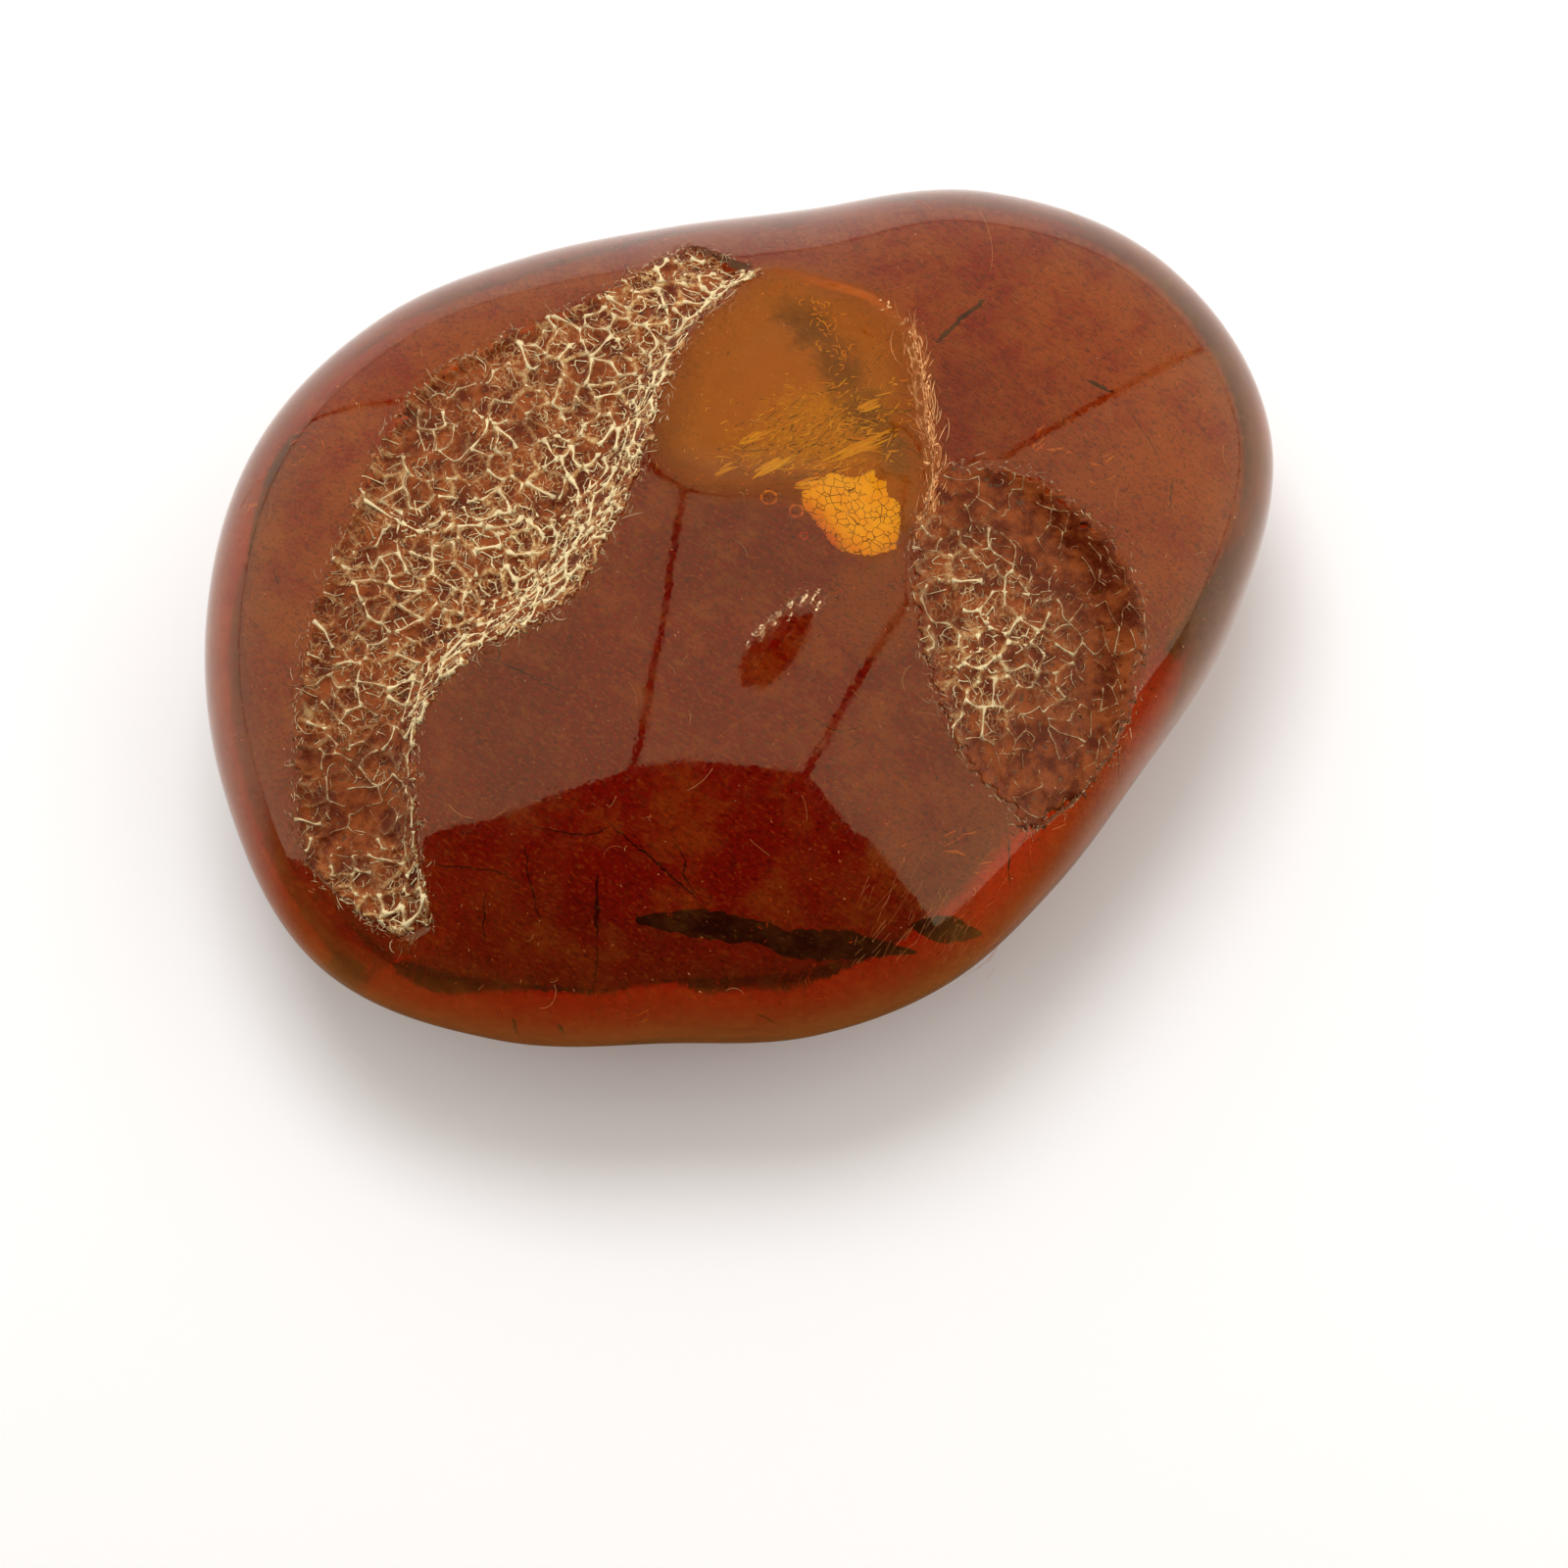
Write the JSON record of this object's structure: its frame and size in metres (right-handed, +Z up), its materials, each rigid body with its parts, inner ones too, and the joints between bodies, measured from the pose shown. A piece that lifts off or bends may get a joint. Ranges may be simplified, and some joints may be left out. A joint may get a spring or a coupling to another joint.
{
  "type": "amber stone",
  "caption": "Polished amber pebble with two hollows of honeycombed crust and two slivers of bark sealed inside it.",
  "frame": {"origin": "middle of the underside of the stone's box, on the surface it rests on", "axes": "+X along the longest side of the stone, +Y to the far side as the picture sees it, +Z up"},
  "size_m": [0.075, 0.061, 0.0317],
  "materials": {
    "amber": "hand-polished fossil resin, clear reddish brown",
    "bark": "charred black bark, matt",
    "weathered_crust": "crazed, honeycombed skin of the amber, matt cream over dark red"
  },
  "bodies": {
    "root": {"amber_stone_lower": "amber", "amber_stone_upper": "amber", "bark_sliver_long": "bark", "bark_sliver_short": "bark"}
  },
  "joints": []
}
